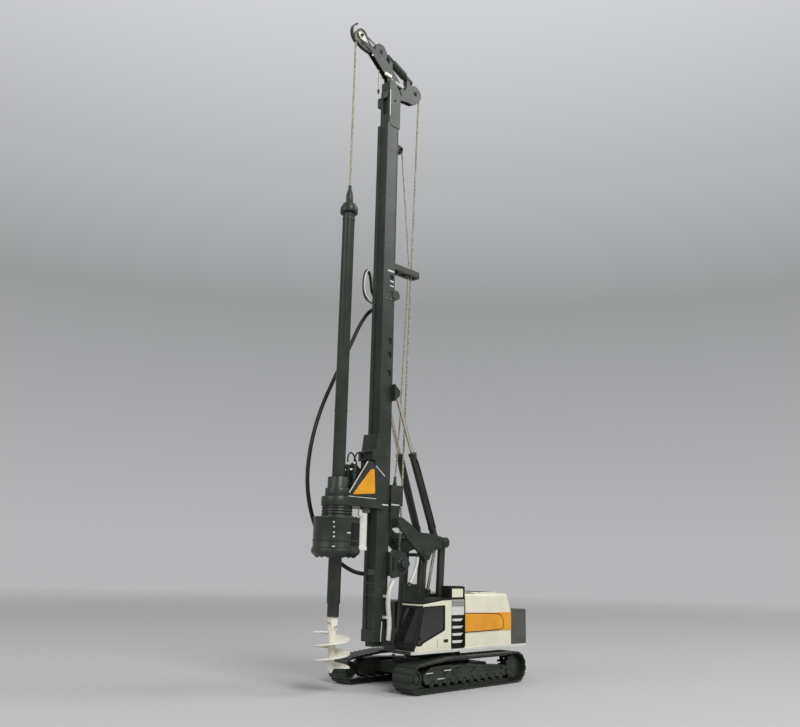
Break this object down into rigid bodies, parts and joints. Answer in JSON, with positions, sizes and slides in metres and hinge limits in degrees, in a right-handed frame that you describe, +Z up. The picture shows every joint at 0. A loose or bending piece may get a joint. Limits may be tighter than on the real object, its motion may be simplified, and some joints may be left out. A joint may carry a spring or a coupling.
{
  "type": "scale model of a rotary piling rig",
  "caption": "Die-cast scale model of a rotary piling rig: crawler tracks, swinging upper with cab, linked tall mast, sliding rotary drive, kelly bar and auger.",
  "frame": {"origin": "on the floor, in the middle of the model's box seen from above", "axes": "+X forward to the mast and auger, +Y to the rig's left (cab side), +Z up"},
  "size_m": [0.2118, 0.0892, 0.5535],
  "materials": {
    "graphite_paint": "semi-gloss grey-green enamel on die-cast zinc",
    "track_black": "dark moulded plastic track",
    "cream_paint": "gloss cream enamel",
    "orange_paint": "gloss orange-yellow enamel",
    "grey_paint": "satin grey enamel",
    "black_plastic": "black moulded plastic",
    "tinted_window": "dark tinted clear plastic",
    "polished_rod": "polished steel rod",
    "silver_paint": "silver finish",
    "ivory_paint": "ivory enamel",
    "hose_rubber": "black rubber hose"
  },
  "bodies": {
    "undercarriage": {"car_body": "graphite_paint", "slew_ring": "graphite_paint", "track_frame_left": "graphite_paint", "track_frame_right": "graphite_paint", "track_loop_left": "track_black", "track_loop_right": "track_black", "track_wheels_left": "track_black", "track_wheels_right": "track_black"},
    "upper": {"deck": "graphite_paint", "platform_edge_left": "silver_paint", "platform_edge_right": "silver_paint", "engine_housing": "cream_paint", "band_panel_left": "orange_paint", "band_panel_right": "orange_paint", "counterweight": "grey_paint", "grille_column": "black_plastic", "column_steps": "silver_paint", "intake_grating": "silver_paint", "intake_box": "black_plastic", "right_cabinet": "graphite_paint", "cab_door": "cream_paint", "cab_roof": "black_plastic", "cab_frame": "cream_paint", "cab_glass": "tinted_window", "cab_seat": "black_plastic"},
    "front_link": {"front_link": "graphite_paint"},
    "rear_link": {"rear_link": "graphite_paint"},
    "knee": {"knee": "graphite_paint"},
    "luff_tubes": {"luff_tubes": "graphite_paint"},
    "luff_rods": {"luff_rods": "polished_rod"},
    "backstay_tube_left": {"backstay_tube_left": "graphite_paint"},
    "backstay_rod_left": {"backstay_rod_left": "polished_rod"},
    "backstay_tube_right": {"backstay_tube_right": "graphite_paint"},
    "backstay_rod_right": {"backstay_rod_right": "polished_rod"},
    "mast": {"mast_lower": "graphite_paint", "mast_upper": "graphite_paint", "rope_guide_arm": "graphite_paint", "winch_frame": "graphite_paint", "small_sheave_ears": "black_plastic", "mast_head": "graphite_paint", "rope_guard": "graphite_paint", "head_tube": "graphite_paint", "hose_glands": "black_plastic", "hose_tube": "hose_rubber", "silver_pipes": "silver_paint"},
    "winch_drum": {"winch_drum": "silver_paint"},
    "sheave_front": {"sheave_front": "ivory_paint"},
    "sheave_mid": {"sheave_mid": "graphite_paint"},
    "sheave_rear": {"sheave_rear": "graphite_paint"},
    "sheave_small": {"sheave_small": "graphite_paint"},
    "drive": {"drive_carriage": "graphite_paint", "drive_gussets": "graphite_paint", "drive_plate": "graphite_paint", "guide_bush": "graphite_paint", "drive_drum": "graphite_paint", "drive_hood": "graphite_paint", "drive_motors": "black_plastic"},
    "swivel": {"rope_swivel": "graphite_paint"},
    "kelly": {"kelly_bar": "graphite_paint", "auger": "ivory_paint"}
  },
  "joints": [
    {"name": "upper_swing", "type": "hinge", "parent": "undercarriage", "child": "upper", "pos_m": [-0.01985, 0, 0.0249], "axis": [0, 0, 1], "continuous": true},
    {"name": "mast_reach", "type": "hinge", "parent": "upper", "child": "front_link", "pos_m": [0.00615, 0, 0.039], "axis": [0, 1, 0], "range_deg": [-8, 11]},
    {"name": "rear_link_swing", "type": "hinge", "parent": "upper", "child": "rear_link", "pos_m": [-0.01695, 0, 0.0495], "axis": [0, 1, 0], "range_deg": [-8, 11]},
    {"name": "knee_level", "type": "hinge", "parent": "front_link", "child": "knee", "pos_m": [0.00266, 0, 0.0995], "axis": [0, 1, 0], "range_deg": [-11, 8]},
    {"name": "luff_tube_swing", "type": "hinge", "parent": "upper", "child": "luff_tubes", "pos_m": [-0.00235, 0, 0.0375], "axis": [0, 1, 0], "range_deg": [-6.41, 8.81]},
    {"name": "luff_rod_stroke", "type": "slide", "parent": "luff_tubes", "child": "luff_rods", "axis": [-0.2421, 0, 0.9703], "range_m": [-0.00225, 0.00163]},
    {"name": "mast_tilt", "type": "hinge", "parent": "knee", "child": "mast", "pos_m": [0.03266, 0, 0.1237], "axis": [0, 1, 0], "range_deg": [-15, 5]},
    {"name": "backstay_swing_left", "type": "hinge", "parent": "knee", "child": "backstay_tube_left", "pos_m": [-0.01304, 0.0088, 0.1132], "axis": [0, 1, 0], "range_deg": [-12.03, 4.01]},
    {"name": "backstay_stroke_left", "type": "slide", "parent": "backstay_tube_left", "child": "backstay_rod_left", "axis": [0.3746, -0.021, 0.927], "range_m": [-0.01055, 0.00352]},
    {"name": "backstay_swing_right", "type": "hinge", "parent": "knee", "child": "backstay_tube_right", "pos_m": [-0.01304, -0.0088, 0.1132], "axis": [0, 1, 0], "range_deg": [-12.03, 4.01]},
    {"name": "backstay_stroke_right", "type": "slide", "parent": "backstay_tube_right", "child": "backstay_rod_right", "axis": [0.3746, 0.021, 0.927], "range_m": [-0.01055, 0.00352]},
    {"name": "winch_spin", "type": "hinge", "parent": "mast", "child": "winch_drum", "pos_m": [0.02565, 0, 0.0915], "axis": [0, 1, 0], "continuous": true},
    {"name": "sheave_front_spin", "type": "hinge", "parent": "mast", "child": "sheave_front", "pos_m": [0.08225, 0, 0.5436], "axis": [0, 1, 0], "continuous": true},
    {"name": "sheave_mid_spin", "type": "hinge", "parent": "mast", "child": "sheave_mid", "pos_m": [0.05865, 0, 0.5385], "axis": [0, 1, 0], "continuous": true},
    {"name": "sheave_rear_spin", "type": "hinge", "parent": "mast", "child": "sheave_rear", "pos_m": [0.01315, 0, 0.5175], "axis": [0, 1, 0], "continuous": true},
    {"name": "sheave_small_spin", "type": "hinge", "parent": "mast", "child": "sheave_small", "pos_m": [0.03065, 0, 0.453], "axis": [0, 1, 0], "continuous": true},
    {"name": "drive_feed", "type": "slide", "parent": "mast", "child": "drive", "axis": [0, 0, 1], "range_m": [-0.026, 0.1]},
    {"name": "kelly_hoist", "type": "slide", "parent": "mast", "child": "swivel", "axis": [0, 0, 1], "range_m": [-0.008, 0.014]},
    {"name": "kelly_spin", "type": "hinge", "parent": "swivel", "child": "kelly", "pos_m": [0.08765, 0, 0.372], "axis": [0, 0, 1], "continuous": true}
  ],
  "couplings": [
    {"joint": "rear_link_swing", "follows": "mast_reach", "ratio": 1},
    {"joint": "knee_level", "follows": "mast_reach", "ratio": -1},
    {"joint": "luff_tube_swing", "follows": "mast_reach", "ratio": 0.80071},
    {"joint": "luff_rod_stroke", "follows": "mast_reach", "m_per_rad": -0.011695},
    {"joint": "backstay_swing_left", "follows": "mast_tilt", "ratio": 0.80165},
    {"joint": "backstay_stroke_left", "follows": "mast_tilt", "m_per_rad": 0.040297},
    {"joint": "backstay_swing_right", "follows": "mast_tilt", "ratio": 0.80165},
    {"joint": "backstay_stroke_right", "follows": "mast_tilt", "m_per_rad": 0.040297}
  ]
}
